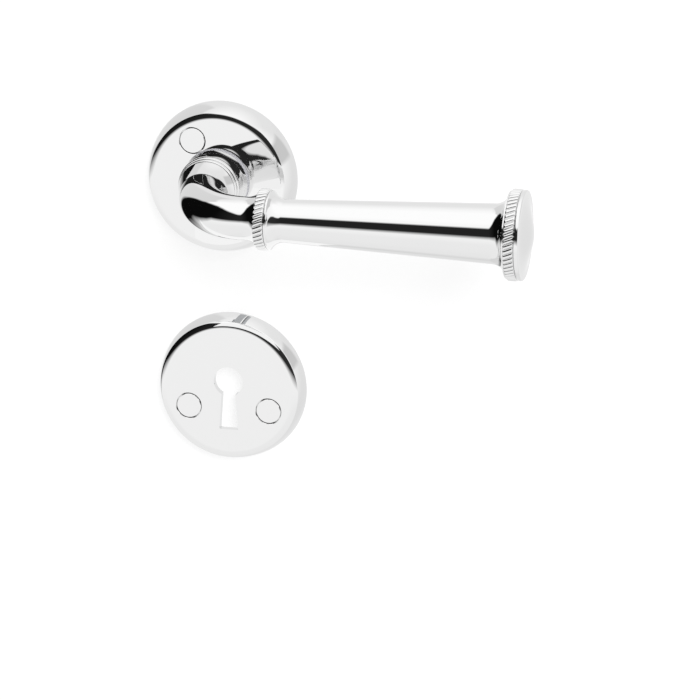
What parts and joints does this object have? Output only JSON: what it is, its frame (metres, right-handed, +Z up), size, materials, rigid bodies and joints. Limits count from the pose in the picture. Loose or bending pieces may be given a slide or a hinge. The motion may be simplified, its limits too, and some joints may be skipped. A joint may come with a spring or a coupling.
{
  "type": "door lever handle",
  "caption": "Chromed door lever handle on a round rose, with a tapered grip between rope-milled rings and a matching round key escutcheon.",
  "frame": {"origin": "centre of the rose on the door face, on the spindle's axis", "axes": "+Y into the door, +X along the lever, +Z up"},
  "size_m": [0.1417, 0.1174, 0.1257],
  "materials": {
    "polished_chrome": "mirror polished",
    "zinc_steel": "bright zinc plated",
    "spring_steel": "oiled, dark",
    "nylon": "moulded, light grey"
  },
  "bodies": {
    "plates": {"rose": "polished_chrome", "rose_bush": "nylon", "spring_housing": "zinc_steel", "spring_cover": "zinc_steel", "return_spring": "spring_steel", "rose_screw_upper": "zinc_steel", "rose_screw_lower": "zinc_steel", "rose_cap_upper": "polished_chrome", "rose_cap_lower": "polished_chrome", "escutcheon": "polished_chrome", "escutcheon_screw_left": "zinc_steel", "escutcheon_screw_right": "zinc_steel", "escutcheon_cap_left": "polished_chrome", "escutcheon_cap_right": "polished_chrome"},
    "lever": {"lever_neck": "polished_chrome", "neck_ring": "polished_chrome", "grip": "polished_chrome", "end_ring": "polished_chrome", "end_button": "polished_chrome", "tie_stud": "zinc_steel", "spindle": "zinc_steel", "grub_screw": "spring_steel", "retaining_clip": "spring_steel", "thrust_washer": "zinc_steel", "spring_driver": "zinc_steel"}
  },
  "joints": [
    {"name": "lever_turn", "type": "hinge", "parent": "plates", "child": "lever", "pos_m": [0, 0, 0], "axis": [0, 1, 0], "range_deg": [0, 45], "stiffness_Nm_per_rad": 0.6, "springref_deg": -45.84, "deforming": ["return_spring"]}
  ]
}
